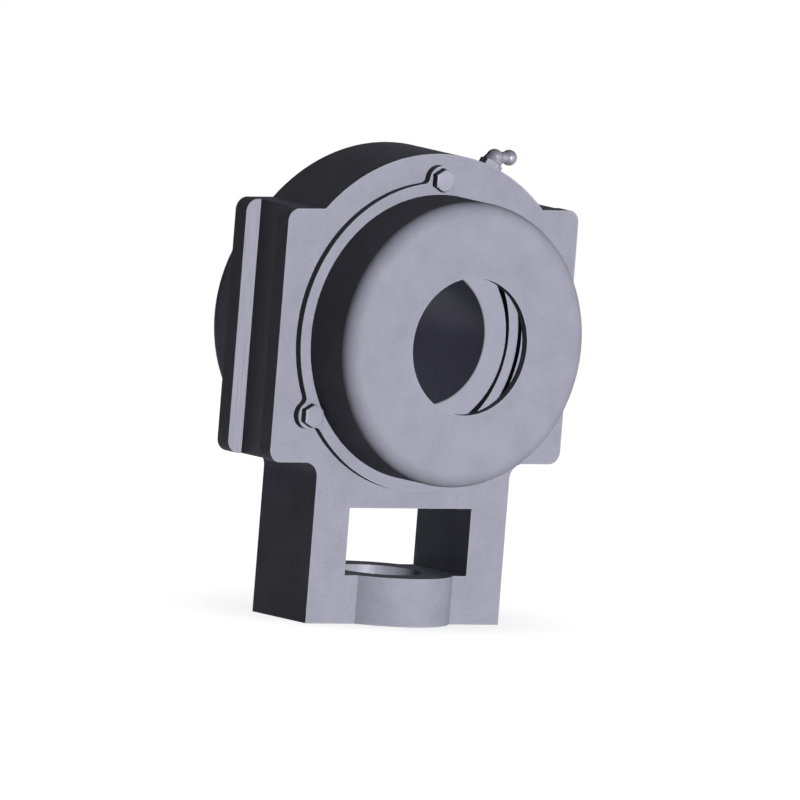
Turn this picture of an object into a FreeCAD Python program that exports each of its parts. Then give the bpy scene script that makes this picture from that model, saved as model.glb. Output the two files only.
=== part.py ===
import FreeCAD, Part
import math
import os
import Sketcher
from FreeCAD import Placement, Rotation, Vector

# Take up bearing unit for a 65 mm shaft: a cast housing that slides between two guide rails and
# holds a self-aligning insert ball bearing under two bolted end covers.
# The origin is the centre of the shaft bore in the housing's mid plane. The shaft lies along Y,
# the adjusting screw along Z, and the front cover faces -Y.

dimensions = {
    # Housing casting
    "guide_flange_width": 167,
    "guide_flange_height": 121,
    "guide_flange_thickness": 9,
    "guide_slot_gauge": 151,
    "guide_slot_width": 26,
    "guide_corner_radius": 6,
    "cap_radius": 87,
    "centre_height": 137,
    "leg_width": 111,
    "leg_corner_radius": 7,
    "floor_thickness": 23,
    "window_width": 70,
    "window_height": 32,
    "screw_hole_diameter": 41,
    "screw_boss_diameter": 70,
    # Spherical seat of the insert bearing
    "seat_clearance": 0.05,
    "loading_notch_clearance": 0.4,
    # End covers and their bolts
    "cover_flange_inset": 1.3,
    "cover_flange_thickness": 4,
    "cover_drum_inset": 7,
    "cover_height": 38,
    "cover_rim_radius": 8,
    "cover_wall": 4,
    "cover_hole_clearance": 0.25,
    "cover_ear_radius": 6.7,
    "cover_ear_fillet": 3,
    "cover_bolt_from_cap": 12,
    "cover_bolt_count": 3,
    "cover_bolt_diameter": 6,
    "cover_bolt_length": 16,
    "cover_bolt_flats": 10,
    "cover_bolt_head": 4,
    "cover_bolt_head_face": 9.5,
    "cover_bolt_point": 0.6,
    "cover_bolt_clearance": 0.3,
    "bolt_hole_spare": 2,
    "bolt_hole_cone": 1.8,
    "thread_clearance": 0.05,
    # Grease fitting and the passage to the seat
    "grease_angle": 60,
    "grease_spot_diameter": 14,
    "grease_spot_depth": 0.6,
    "grease_drill_diameter": 4,
    "fitting_thread_diameter": 6,
    "fitting_thread_length": 7,
    "fitting_tap_spare": 2,
    "fitting_flats": 10,
    "fitting_hexagon": 6.6,
    "fitting_hexagon_face": 9.8,
    "fitting_elbow_diameter": 8.3,
    "fitting_elbow_height": 9,
    "fitting_bend": 60,
    "fitting_neck_diameter": 5.6,
    "fitting_head_diameter": 7.5,
    "fitting_head_centre": 8.4,
    "fitting_tip_diameter": 4.6,
    "fitting_passage_diameter": 2.5,
    "fitting_inlet_diameter": 2,
    "fitting_chamber_diameter": 3.2,
    "fitting_chamber_start": 2,
    "fitting_valve_seat": 9.2,
    "fitting_mouth_diameter": 1.8,
    "fitting_ball_diameter": 2.8,
    "fitting_ball_clearance": 0.02,
    "fitting_spring_diameter": 2,
    "fitting_spring_wire": 0.35,
    "fitting_spring_turns": 5,
    # Rings of the insert bearing
    "outer_ring_diameter": 120,
    "outer_ring_width": 34,
    "outer_ring_chamfer": 0.6,
    "outer_ring_race_wall": 3.74,
    "outer_shoulder_height": 4.8,
    "inner_ring_wall": 12.345,
    "inner_ring_width": 65.1,
    "inner_ring_short_side": 25.4,
    "inner_ring_chamfer": 0.5,
    "inner_shoulder_height": 4.5,
    "race_clearance": 0.02,
    "outer_race_radius": 8.42,
    "inner_race_radius": 8.2,
    "oil_groove_offset": 9,
    "oil_groove_width": 3,
    "oil_groove_depth": 0.8,
    "oil_hole_diameter": 2,
    # Balls and the riveted cage
    "ball_diameter": 15.875,
    "ball_count": 10,
    "cage_pocket_clearance": 0.15,
    "cage_sheet": 1,
    "cage_land_clearance": 0.7,
    "rivet_diameter": 2.4,
    "rivet_head_diameter": 4.2,
    "rivet_head_height": 1.2,
    # Rubber seals
    "seal_seat_depth": 1.8,
    "seal_seat_start": 10.5,
    "seal_seat_width": 1.8,
    "seal_lip_wall": 0.6,
    "seal_clearance": 0.1,
    "seal_lip_depth": 1.2,
    # Set screws that grip the shaft
    "set_screw_diameter": 12,
    "set_screw_set_back": 0.2,
    "set_screw_below_land": 0.5,
    "set_screw_from_end": 12,
    "set_screw_spread": 120,
    "set_screw_first_angle": 90,
    "set_screw_socket": 6,
    "set_screw_socket_depth": 6,
    "set_screw_cup_diameter": 6,
    "set_screw_cup_depth": 1.5,
    "set_screw_edge": 0.8,
}

doc = FreeCAD.newDocument("take_up_bearing_unit")
sheet = doc.addObject("Spreadsheet::Sheet", "sizes")
for row, (alias, number) in enumerate(dimensions.items(), start=1):
    sheet.set(f"A{row}", alias.replace("_", " "))
    sheet.set(f"B{row}", str(number))
    sheet.setAlias(f"B{row}", alias)
doc.recompute()


class Size:
    """A worked-out number, kept with the sheet expression that gives it."""

    def __init__(self, value, text):
        self.value = value
        self.text = text

    def __add__(self, other):
        other = as_size(other)
        return Size(self.value + other.value, f"({self.text} + {other.text})")

    def __sub__(self, other):
        other = as_size(other)
        return Size(self.value - other.value, f"({self.text} - {other.text})")

    def __mul__(self, other):
        other = as_size(other)
        return Size(self.value * other.value, f"({self.text} * {other.text})")

    def __truediv__(self, other):
        other = as_size(other)
        return Size(self.value / other.value, f"({self.text} / {other.text})")

    def __neg__(self):
        return Size(-self.value, f"(0 - {self.text})")


def as_size(number):
    return number if isinstance(number, Size) else Size(number, f"{number}")


def root(size):
    return Size(math.sqrt(size.value), f"sqrt({size.text})")


def sine(degrees):
    degrees = as_size(degrees)
    return Size(math.sin(math.radians(degrees.value)), f"sin({degrees.text})")


def cosine(degrees):
    degrees = as_size(degrees)
    return Size(math.cos(math.radians(degrees.value)), f"cos({degrees.text})")


def across(radius, height):
    """Half the chord that a circle of this radius has at this height above its centre."""
    return root(radius * radius - height * height)


def size(alias):
    return Size(float(dimensions[alias]), f"sizes.{alias}")


def half(alias):
    return size(alias) / 2


zero = as_size(0)
parts = []


def bind(item, name, value):
    item.setExpression(name, as_size(value).text)


def new_body(label):
    body = doc.addObject("PartDesign::Body", label)
    body.Label = label
    parts.append(body)
    return body


def origin_feature(body, role):
    return next(item for item in body.Origin.OriginFeatures if item.Role == role)


def attach(item, body, plane, offset, turn):
    """Lays a sketch or a primitive on one of the body's own planes, moved by offset in that
    plane's axes and turned about the plane's first axis."""
    item.AttachmentSupport = [(origin_feature(body, plane), "")]
    item.MapMode = "FlatFace"
    item.AttachmentOffset = Placement(Vector(), Rotation(Vector(1, 0, 0), turn.value))
    if turn is not zero:
        bind(item, "AttachmentOffset.Rotation.Angle", turn)
    for axis, distance in zip("xyz", offset):
        if distance is not zero:
            bind(item, f"AttachmentOffset.Base.{axis}", distance)


def sketch_on(body, plane, name, offset=(zero, zero, zero), turn=zero):
    sketch = body.newObject("Sketcher::SketchObject", f"{body.Name}_{name}")
    attach(sketch, body, plane, offset, turn)
    return sketch


def fix_point(sketch, edge, end, x, y):
    """Ties a point to its place from the sketch's origin."""
    for kind, axis_edge, distance in (("DistanceX", -2, x), ("DistanceY", -1, y)):
        if distance is zero:
            sketch.addConstraint(Sketcher.Constraint("PointOnObject", edge, end, axis_edge))
        else:
            number = sketch.addConstraint(
                Sketcher.Constraint(kind, -1, 1, edge, end, distance.value)
            )
            bind(sketch, f"Constraints[{number}]", distance)


def arc_between(start, finish, radius, way):
    """The short arc from start to finish: way is 1 for a left turn and -1 for a right turn."""
    chord = finish - start
    rise = math.sqrt(max(radius ** 2 - (chord.Length / 2) ** 2, 0))
    left = Vector(-chord.y, chord.x, 0).normalize()
    centre = (start + finish) / 2 + left * (way * rise)
    first, last = (start, finish) if way > 0 else (finish, start)
    angles = [math.atan2(p.y - centre.y, p.x - centre.x) for p in (first, last)]
    return Part.ArcOfCircle(Part.Circle(centre, Vector(0, 0, 1), radius), *angles)


def outline(sketch, corners):
    """Draws a closed outline. A corner is (x, y), or (x, y, radius, way) where an arc of that
    radius leaves it."""
    first = sketch.GeometryCount
    count = len(corners)
    ends = []
    for index, corner in enumerate(corners):
        following = corners[(index + 1) % count]
        start = Vector(corner[0].value, corner[1].value, 0)
        finish = Vector(following[0].value, following[1].value, 0)
        if len(corner) == 2:
            sketch.addGeometry(Part.LineSegment(start, finish))
            ends.append((1, 2))
        else:
            radius, way = corner[2:]
            sketch.addGeometry(arc_between(start, finish, radius.value, way))
            ends.append((1, 2) if way > 0 else (2, 1))
    for index in range(count):
        after = (index + 1) % count
        sketch.addConstraint(Sketcher.Constraint(
            "Coincident", first + index, ends[index][1], first + after, ends[after][0]
        ))
    for index, corner in enumerate(corners):
        fix_point(sketch, first + index, ends[index][0], corner[0], corner[1])
        if len(corner) == 4:
            number = sketch.addConstraint(
                Sketcher.Constraint("Radius", first + index, corner[2].value)
            )
            bind(sketch, f"Constraints[{number}]", corner[2])


def circle(sketch, radius, x=zero, y=zero):
    edge = sketch.addGeometry(
        Part.Circle(Vector(x.value, y.value, 0), Vector(0, 0, 1), radius.value)
    )
    fix_point(sketch, edge, 3, x, y)
    number = sketch.addConstraint(Sketcher.Constraint("Radius", edge, radius.value))
    bind(sketch, f"Constraints[{number}]", radius)


def rectangle(sketch, left, bottom, right, top):
    outline(sketch, [(left, bottom), (right, bottom), (right, top), (left, top)])


def hexagon(sketch, flats):
    """A hexagon with two of its flats facing along the sketch's first axis."""
    side = flats / 2
    corner = flats / root(as_size(3))
    outline(sketch, [
        (side, -(corner / 2)), (side, corner / 2), (zero, corner),
        (-side, corner / 2), (-side, -(corner / 2)), (zero, -corner),
    ])


def straight(body, kind, sketch, length, both_ways=False, backwards=False):
    """A Pad or a Pocket of the sketch."""
    feature = body.newObject(f"PartDesign::{kind}", f"{sketch.Name}_{kind.lower()}")
    feature.Profile = sketch
    bind(feature, "Length", length)
    feature.SideType = "Symmetric" if both_ways else "One side"
    feature.Reversed = backwards
    sketch.Visibility = False
    body.Tip = feature
    return feature


def turned(body, kind, sketch, axis="H_Axis"):
    """A Revolution or a Groove of the sketch, right round one of its own axes."""
    feature = body.newObject(f"PartDesign::{kind}", f"{sketch.Name}_{kind.lower()}")
    feature.Profile = sketch
    feature.ReferenceAxis = (sketch, [axis])
    feature.Angle = 360
    sketch.Visibility = False
    body.Tip = feature
    return feature


def round_shaft(body, features, count, name):
    """Repeats features at even steps round the shaft's axis."""
    pattern = body.newObject("PartDesign::PolarPattern", f"{body.Name}_{name}")
    pattern.Originals = features
    pattern.Axis = (origin_feature(body, "Y_Axis"), [""])
    pattern.Angle = 360
    bind(pattern, "Occurrences", count)
    body.Tip = pattern
    return pattern


def ball_shape(body, kind, name, radius, height):
    """An AdditiveSphere or SubtractiveSphere centred on the Z axis."""
    ball = body.newObject(f"PartDesign::{kind}", f"{body.Name}_{name}")
    attach(ball, body, "XZ_Plane", (zero, height, zero), zero)
    bind(ball, "Radius", radius)
    body.Tip = ball
    return ball


def edges_where(feature, wanted):
    doc.recompute()
    return [
        f"Edge{number}"
        for number, edge in enumerate(feature.Shape.Edges, start=1)
        if wanted(edge)
    ]


def dress(body, kind, feature, wanted, amount, name):
    """A Fillet or a Chamfer on the edges of the feature that pass the test."""
    blend = body.newObject(f"PartDesign::{kind}", f"{body.Name}_{name}")
    blend.Base = (feature, edges_where(feature, wanted))
    bind(blend, "Radius" if kind == "Fillet" else "Size", amount)
    body.Tip = blend
    return blend


def runs_along(edge, direction):
    ends = [vertex.Point for vertex in edge.Vertexes]
    if len(ends) != 2 or edge.Curve.TypeId != "Part::GeomLine":
        return False
    return abs((ends[1] - ends[0]).normalize().dot(direction)) > 0.999


def near(number, wanted):
    return abs(number - wanted.value) < 0.01


# Housing: one grey iron casting. Its front outline is drawn once and padded over the full depth,
# then the guide slots, the nut window, the screw hole and the seat are machined into it.
housing_depth = size("guide_slot_width") + size("guide_flange_thickness") * 2
face = housing_depth / 2
flange_x = half("guide_flange_width")
flange_z = half("guide_flange_height")
leg_x = half("leg_width")
foot_z = -size("centre_height")
floor_z = foot_z + size("floor_thickness")
cap_radius = size("cap_radius")
cap_x = across(cap_radius, flange_z)
outer_radius = half("outer_ring_diameter")
seat_radius = outer_radius + size("seat_clearance")
mouth_radius = across(seat_radius, face)

housing = new_body("housing")
front = sketch_on(housing, "XZ_Plane", "outline")
outline(front, [
    (-leg_x, foot_z), (leg_x, foot_z), (leg_x, -flange_z), (flange_x, -flange_z),
    (flange_x, flange_z), (cap_x, flange_z, cap_radius, 1), (-cap_x, flange_z),
    (-flange_x, flange_z), (-flange_x, -flange_z), (-leg_x, -flange_z),
])
block = straight(housing, "Pad", front, housing_depth, both_ways=True)

leg_corners = dress(
    housing, "Fillet", block,
    lambda edge: runs_along(edge, Vector(0, 1, 0))
    and near(abs(edge.CenterOfMass.x), leg_x) and near(edge.CenterOfMass.z, -flange_z),
    size("leg_corner_radius"), "leg_corners",
)
guide_corners = dress(
    housing, "Fillet", leg_corners,
    lambda edge: runs_along(edge, Vector(0, 1, 0))
    and near(abs(edge.CenterOfMass.x), flange_x),
    size("guide_corner_radius"), "guide_corners",
)

# The two guide slots, open at both ends, run along Z in the sides.
slot_x = half("guide_slot_gauge")
slot_y = half("guide_slot_width")
slots = sketch_on(housing, "XY_Plane", "guide_slots")
rectangle(slots, slot_x, -slot_y, flange_x, slot_y)
rectangle(slots, -flange_x, -slot_y, -slot_x, slot_y)
straight(housing, "Pocket", slots, size("guide_flange_height"), both_ways=True)

# The round boss widens the floor of the leg round the adjusting screw.
foot = (zero, zero, foot_z)
boss = sketch_on(housing, "XY_Plane", "screw_boss", foot)
circle(boss, half("screw_boss_diameter"))
straight(housing, "Pad", boss, size("floor_thickness"))

window = sketch_on(housing, "XZ_Plane", "nut_window")
window_x = half("window_width")
rectangle(window, -window_x, floor_z, window_x, floor_z + size("window_height"))
straight(housing, "Pocket", window, housing_depth, both_ways=True)

screw_hole = sketch_on(housing, "XY_Plane", "screw_hole", foot)
circle(screw_hole, half("screw_hole_diameter"))
straight(housing, "Pocket", screw_hole, size("floor_thickness"), backwards=True)

# The seat is a band of a sphere, so that the insert can align itself to the shaft.
seat = sketch_on(housing, "YZ_Plane", "seat")
outline(seat, [(-face, zero), (face, zero), (face, mouth_radius, seat_radius, 1),
               (-face, mouth_radius)])
turned(housing, "Groove", seat)

# The insert goes in edge first from the rear, through two notches, and is then turned.
notch_radius = outer_radius + size("loading_notch_clearance")
notch_z = half("outer_ring_width") + size("loading_notch_clearance")
notch_x = across(notch_radius, notch_z)
notches = sketch_on(housing, "XZ_Plane", "loading_notches")
outline(notches, [(-notch_x, -notch_z), (notch_x, -notch_z, notch_radius, 1),
                  (notch_x, notch_z), (-notch_x, notch_z, notch_radius, 1)])
straight(housing, "Pocket", notches, face)

# Tapped holes for the cover bolts, drilled to the same depth from both faces.
bolt_circle = cap_radius - size("cover_bolt_from_cap")
tap_radius = half("cover_bolt_diameter") + size("thread_clearance")
bolt_grip = size("cover_bolt_length") - size("cover_flange_thickness")
tap_end = face - bolt_grip - size("bolt_hole_spare")
tap_point = tap_end - size("bolt_hole_cone")
taps = sketch_on(housing, "YZ_Plane", "cover_bolt_holes", (zero, bolt_circle, zero))
for side in (-1, 1):
    outline(taps, [(face * side, zero), (face * side, tap_radius),
                   (tap_end * side, tap_radius), (tap_point * side, zero)])
tap_pair = turned(housing, "Groove", taps)
round_shaft(housing, [tap_pair], size("cover_bolt_count"), "cover_bolt_pattern")

# The grease hole comes down through the cap to the middle of the seat. It has a spot face, a
# tapped top and a drilled passage, which a short axial groove in the seat carries to the ring.
grease_angle = size("grease_angle")
grease_turn = as_size(90) - grease_angle
spot_radius = cap_radius - size("grease_spot_depth")
fitting_tap = half("fitting_thread_diameter") + size("thread_clearance")
fitting_tap_end = spot_radius - size("fitting_thread_length") - size("fitting_tap_spare")
drill = half("grease_drill_diameter")
inside_seat = seat_radius - drill
grease_hole = sketch_on(housing, "YZ_Plane", "grease_hole", turn=grease_turn)
outline(grease_hole, [
    (zero, inside_seat), (drill, inside_seat), (drill, fitting_tap_end),
    (fitting_tap, fitting_tap_end), (fitting_tap, spot_radius),
    (half("grease_spot_diameter"), spot_radius),
    (half("grease_spot_diameter"), cap_radius), (zero, cap_radius),
])
turned(housing, "Groove", grease_hole, "V_Axis")

oil_offset = size("oil_groove_offset")
oil_reach = oil_offset + size("oil_groove_width") / 2
grease_way = sketch_on(housing, "YZ_Plane", "grease_way", turn=grease_turn)
rectangle(grease_way, -drill, inside_seat, oil_reach, seat_radius + size("oil_groove_depth"))
straight(housing, "Pocket", grease_way, size("grease_drill_diameter"), both_ways=True)


# The insert's balls and rings take their radii from its outside, one after the other, down to the
# bore. A race floor is the deepest line of a ring's groove, and a land the rim beside it.
ball_radius = half("ball_diameter")
outer_race_floor = outer_radius - size("outer_ring_race_wall")
ball_circle = outer_race_floor - size("race_clearance") - ball_radius
inner_race_floor = ball_circle - ball_radius - size("race_clearance")
outer_land = outer_race_floor - size("outer_shoulder_height")
inner_land = inner_race_floor + size("inner_shoulder_height")
bore = inner_land - size("inner_ring_wall")


# End covers: cast shells, alike front and rear, with a flange that sits on the housing's face,
# three bolt ears, a drum with a rounded rim and a hole that clears the shaft.
def end_cover(label, side):
    body = new_body(label)
    thickness = size("cover_flange_thickness")
    height = size("cover_height")
    wall = size("cover_wall")
    rim = size("cover_rim_radius")
    drum = bolt_circle - size("cover_drum_inset")
    flange = bolt_circle - size("cover_flange_inset")
    hole = bore + size("cover_hole_clearance")
    shell = sketch_on(body, "YZ_Plane", "section")
    outline(shell, [
        (zero, drum - wall), (zero, flange), (-thickness, flange), (-thickness, drum),
        (rim - height, drum, rim, 1), (-height, drum - rim), (-height, hole),
        (wall - height, hole), (wall - height, drum - rim, rim - wall, -1),
        (rim - height, drum - wall),
    ])
    turned(body, "Revolution", shell)

    ear = sketch_on(body, "XZ_Plane", "ear")
    circle(ear, size("cover_ear_radius"), zero, bolt_circle)
    ear_pad = straight(body, "Pad", ear, thickness)
    ears = round_shaft(body, [ear_pad], size("cover_bolt_count"), "ears")

    def ear_root(edge):
        spot = edge.CenterOfMass
        radius = math.hypot(spot.x, spot.z)
        return runs_along(edge, Vector(0, 1, 0)) and near(radius, flange)

    dress(body, "Fillet", ears, ear_root, size("cover_ear_fillet"), "ear_roots")

    bolt_hole = sketch_on(body, "XZ_Plane", "bolt_hole")
    hole_radius = half("cover_bolt_diameter") + size("cover_bolt_clearance")
    circle(bolt_hole, hole_radius, zero, bolt_circle)
    hole_cut = straight(body, "Pocket", bolt_hole, thickness, backwards=True)
    round_shaft(body, [hole_cut], size("cover_bolt_count"), "bolt_holes")

    body.Placement = Placement(Vector(), Rotation(Vector(0, 0, 1), 90 * (side + 1)))
    bind(body, "Placement.Base.y", face * side)


# Cover bolts: hexagon head screws with a chamfered head. The shank has its nominal diameter.
def cover_bolt(label, side, angle):
    body = new_body(label)
    flats = size("cover_bolt_flats")
    head = size("cover_bolt_head")
    shank = half("cover_bolt_diameter")
    length = size("cover_bolt_length")
    point = size("cover_bolt_point")

    head_sketch = sketch_on(body, "XZ_Plane", "head")
    hexagon(head_sketch, flats)
    straight(body, "Pad", head_sketch, head)

    shank_sketch = sketch_on(body, "YZ_Plane", "shank")
    outline(shank_sketch, [(zero, zero), (length, zero), (length, shank - point),
                           (length - point, shank), (zero, shank)])
    turned(body, "Revolution", shank_sketch)

    corner = flats / root(as_size(3))
    face_radius = half("cover_bolt_head_face")
    bevel = (corner - face_radius) / root(as_size(3))
    bevel_sketch = sketch_on(body, "YZ_Plane", "head_bevel")
    outline(bevel_sketch, [(-head, face_radius), (bevel - head, corner), (-head, corner)])
    turned(body, "Groove", bevel_sketch)

    seat_y = face + size("cover_flange_thickness")
    body.Placement = Placement(Vector(), Rotation(Vector(0, 0, 1), 90 * (side + 1)))
    bind(body, "Placement.Base.x", bolt_circle * cosine(angle))
    bind(body, "Placement.Base.y", seat_y * side)
    bind(body, "Placement.Base.z", bolt_circle * sine(angle))


bolt_count = int(dimensions["cover_bolt_count"])
for name, side in (("front", -1), ("rear", 1)):
    end_cover(f"{name}_cover", side)
    for index in range(bolt_count):
        angle = as_size(90) + as_size(360) / size("cover_bolt_count") * index
        cover_bolt(f"{name}_cover_bolt_{index + 1}", side, angle)


# Outer ring: the outside is a sphere. Inside it has the deep groove for the balls and, on each
# side, a stepped seat for a rubber seal. A groove and two holes lead the grease inwards.
seal_in = size("seal_seat_start")
seal_out = seal_in + size("seal_seat_width")
seal_seat = outer_land + size("seal_seat_depth")

ring_y = half("outer_ring_width")
rim_radius = across(outer_radius, ring_y)
seal_lip = outer_land + size("seal_lip_wall")
outer_race = size("outer_race_radius")
outer_race_rise = outer_race_floor - outer_race
outer_race_y = across(outer_race, outer_land - outer_race_rise)

outer_ring = new_body("outer_ring")
section = sketch_on(outer_ring, "YZ_Plane", "section")
outline(section, [
    (-ring_y, seal_lip), (-seal_out, seal_lip), (-seal_out, seal_seat), (-seal_in, seal_seat),
    (-seal_in, outer_land), (-outer_race_y, outer_land, outer_race, -1),
    (outer_race_y, outer_land), (seal_in, outer_land), (seal_in, seal_seat),
    (seal_out, seal_seat), (seal_out, seal_lip), (ring_y, seal_lip),
    (ring_y, rim_radius, outer_radius, 1), (-ring_y, rim_radius),
])
ring_blank = turned(outer_ring, "Revolution", section)
dress(
    outer_ring, "Chamfer", ring_blank,
    lambda edge: near(edge.BoundBox.ZMax, rim_radius),
    size("outer_ring_chamfer"), "rim_chamfers",
)

oil_half = size("oil_groove_width") / 2
oil_floor = across(outer_radius, oil_offset) - size("oil_groove_depth")
oil_groove = sketch_on(outer_ring, "YZ_Plane", "oil_groove")
rectangle(oil_groove, oil_offset - oil_half, oil_floor, oil_offset + oil_half, outer_radius)
turned(outer_ring, "Groove", oil_groove)

oil_holes = sketch_on(outer_ring, "YZ_Plane", "oil_holes", (oil_offset, zero, zero), grease_turn)
oil_hole = half("oil_hole_diameter")
rectangle(oil_holes, zero, outer_land - oil_hole, oil_hole, outer_radius)
rectangle(oil_holes, zero, -outer_radius, oil_hole, oil_hole - outer_land)
turned(outer_ring, "Groove", oil_holes, "V_Axis")


# Inner ring: one side is longer, to carry the two tapped holes of the set screws.
inner_start = -size("inner_ring_short_side")
inner_end = size("inner_ring_width") - size("inner_ring_short_side")
inner_race = size("inner_race_radius")
inner_race_rise = inner_race_floor + inner_race
inner_race_y = across(inner_race, inner_race_rise - inner_land)

inner_ring = new_body("inner_ring")
section = sketch_on(inner_ring, "YZ_Plane", "section")
outline(section, [
    (inner_start, bore), (inner_end, bore), (inner_end, inner_land),
    (inner_race_y, inner_land, inner_race, -1), (-inner_race_y, inner_land),
    (inner_start, inner_land),
])
ring_blank = turned(inner_ring, "Revolution", section)
dress(
    inner_ring, "Chamfer", ring_blank,
    lambda edge: near(edge.CenterOfMass.y, inner_start) or near(edge.CenterOfMass.y, inner_end),
    size("inner_ring_chamfer"), "end_chamfers",
)

screw_y = inner_end - size("set_screw_from_end")
screw_radius = half("set_screw_diameter")
screw_angles = [
    size("set_screw_first_angle"),
    size("set_screw_first_angle") + size("set_screw_spread"),
]
for index, angle in enumerate(screw_angles, start=1):
    tapped = sketch_on(inner_ring, "YZ_Plane", f"set_screw_hole_{index}",
                       (screw_y, zero, zero), as_size(90) - angle)
    rectangle(tapped, zero, bore - screw_radius, screw_radius + size("thread_clearance"),
              inner_land)
    turned(inner_ring, "Groove", tapped, "V_Axis")


# Set screws: headless socket screws with a cup point, wound back until they clear the bore. Their
# outer ends stay just under the ring's surface.
def set_screw(label, angle):
    body = new_body(label)
    tip = bore + size("set_screw_set_back")
    length = inner_land - size("set_screw_below_land") - tip
    edge = size("set_screw_edge")
    section = sketch_on(body, "XZ_Plane", "section")
    outline(section, [
        (zero, size("set_screw_cup_depth")), (half("set_screw_cup_diameter"), zero),
        (screw_radius - edge, zero), (screw_radius, edge), (screw_radius, length - edge),
        (screw_radius - edge, length), (zero, length),
    ])
    turned(body, "Revolution", section, "V_Axis")
    socket = sketch_on(body, "XY_Plane", "socket", (zero, zero, length))
    hexagon(socket, size("set_screw_socket"))
    straight(body, "Pocket", socket, size("set_screw_socket_depth"))
    body.Placement = Placement(Vector(), Rotation(Vector(0, 1, 0), 90 - angle.value))
    bind(body, "Placement.Rotation.Angle", as_size(90) - angle)
    bind(body, "Placement.Base.x", tip * cosine(angle))
    bind(body, "Placement.Base.y", screw_y)
    bind(body, "Placement.Base.z", tip * sine(angle))


for index, angle in enumerate(screw_angles, start=1):
    set_screw(f"set_screw_{index}", angle)


# Balls: evenly spaced, the first one at the top.
ball_total = int(dimensions["ball_count"])
ball_step = as_size(360) / size("ball_count")
for index in range(ball_total):
    angle = as_size(90) + ball_step * index
    ball = doc.addObject("Part::Sphere", f"ball_{index + 1:02d}")
    ball.Label = f"ball_{index + 1:02d}"
    bind(ball, "Radius", ball_radius)
    bind(ball, "Placement.Base.x", ball_circle * cosine(angle))
    bind(ball, "Placement.Base.z", ball_circle * sine(angle))
    parts.append(ball)


# Cage: two pressed sheet rings. Each has a round pocket over every ball and a flat between two
# balls, where a rivet joins it to the other half.
def cage_half(label, side):
    body = new_body(label)
    sheet_thickness = size("cage_sheet")
    pocket = ball_radius + size("cage_pocket_clearance")
    outer = outer_land - size("cage_land_clearance")
    inner = inner_land + size("cage_land_clearance")

    left = as_size(90) + ball_step / 2
    right = as_size(90) - ball_step / 2
    flat = sketch_on(body, "XZ_Plane", "flat")
    outline(flat, [
        (inner * cosine(left), inner * sine(left), inner, -1),
        (inner * cosine(right), inner * sine(right)),
        (outer * cosine(right), outer * sine(right), outer, 1),
        (outer * cosine(left), outer * sine(left)),
    ])
    straight(body, "Pad", flat, sheet_thickness, backwards=True)
    ball_shape(body, "AdditiveSphere", "crown", pocket + sheet_thickness, ball_circle)

    reach = pocket + sheet_thickness * 2
    beyond = ball_circle + reach
    trim = sketch_on(body, "YZ_Plane", "trim")
    outline(trim, [(-reach, zero), (reach, zero), (reach, inner), (zero, inner),
                   (zero, outer), (reach, outer), (reach, beyond), (-reach, beyond)])
    turned(body, "Groove", trim)
    hollow = ball_shape(body, "SubtractiveSphere", "hollow", pocket, ball_circle)
    pockets = round_shaft(body, [hollow], size("ball_count"), "pockets")
    pockets.TransformMode = "Whole shape"

    rivet_hole = sketch_on(body, "XZ_Plane", "rivet_hole")
    circle(rivet_hole, half("rivet_diameter"),
           ball_circle * cosine(left), ball_circle * sine(left))
    hole_cut = straight(body, "Pocket", rivet_hole, sheet_thickness)
    round_shaft(body, [hole_cut], size("ball_count"), "rivet_holes")
    body.Placement = Placement(Vector(), Rotation(Vector(0, 0, 1), 90 * (1 - side)))


# Rivets: a straight shank through both flats and a domed head on each side.
def cage_rivet(label, angle):
    body = new_body(label)
    flat = size("cage_sheet")
    shank = half("rivet_diameter")
    head = half("rivet_head_diameter")
    rise = size("rivet_head_height")
    dome = (head * head + rise * rise) / (rise * 2)
    section = sketch_on(body, "YZ_Plane", "section")
    outline(section, [
        (-flat - rise, zero), (flat + rise, zero, dome, 1), (flat, head), (flat, shank),
        (-flat, shank), (-flat, head, dome, 1),
    ])
    turned(body, "Revolution", section)
    bind(body, "Placement.Base.x", ball_circle * cosine(angle))
    bind(body, "Placement.Base.z", ball_circle * sine(angle))


cage_half("cage_front", -1)
cage_half("cage_rear", 1)
for index in range(ball_total):
    cage_rivet(f"cage_rivet_{index + 1:02d}", as_size(90) + ball_step * (index + 0.5))


# Seals: moulded rubber discs. The bead snaps into the outer ring's seat and a thin lip runs just
# clear of the inner ring.
def seal(label, side):
    body = new_body(label)
    bead = seal_seat - size("thread_clearance")
    lip = inner_land + size("seal_clearance")
    root_radius = lip + size("seal_lip_depth")
    middle = (seal_in + seal_out) / 2
    section = sketch_on(body, "YZ_Plane", "section")
    outline(section, [(seal_in, root_radius), (middle, lip), (seal_out, root_radius),
                      (seal_out, bead), (seal_in, bead)])
    turned(body, "Revolution", section)
    body.Placement = Placement(Vector(), Rotation(Vector(0, 0, 1), 90 * (1 - side)))


seal("front_seal", -1)
seal("rear_seal", 1)


# Grease fitting: a hexagon on a threaded stem, a cone up to a round elbow, and a bent nozzle with
# a ball head. Its own Z axis is the stem, with zero at the spot face, and the nozzle leans
# towards X.
elbow_z = size("fitting_elbow_height")
bend = size("fitting_bend")
stem = half("fitting_thread_diameter")
passage = half("fitting_passage_diameter")
chamber = half("fitting_chamber_diameter")
chamber_start = size("fitting_chamber_start")
valve_seat = size("fitting_valve_seat")
mouth = half("fitting_mouth_diameter")
neck = half("fitting_neck_diameter")
head = half("fitting_head_diameter")
head_centre = size("fitting_head_centre")
tip = half("fitting_tip_diameter")
tip_end = head_centre + across(head, tip)
elbow = half("fitting_elbow_diameter")
hexagon_top = size("fitting_hexagon")
hexagon_face = half("fitting_hexagon_face")
nozzle_turn = -bend

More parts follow.
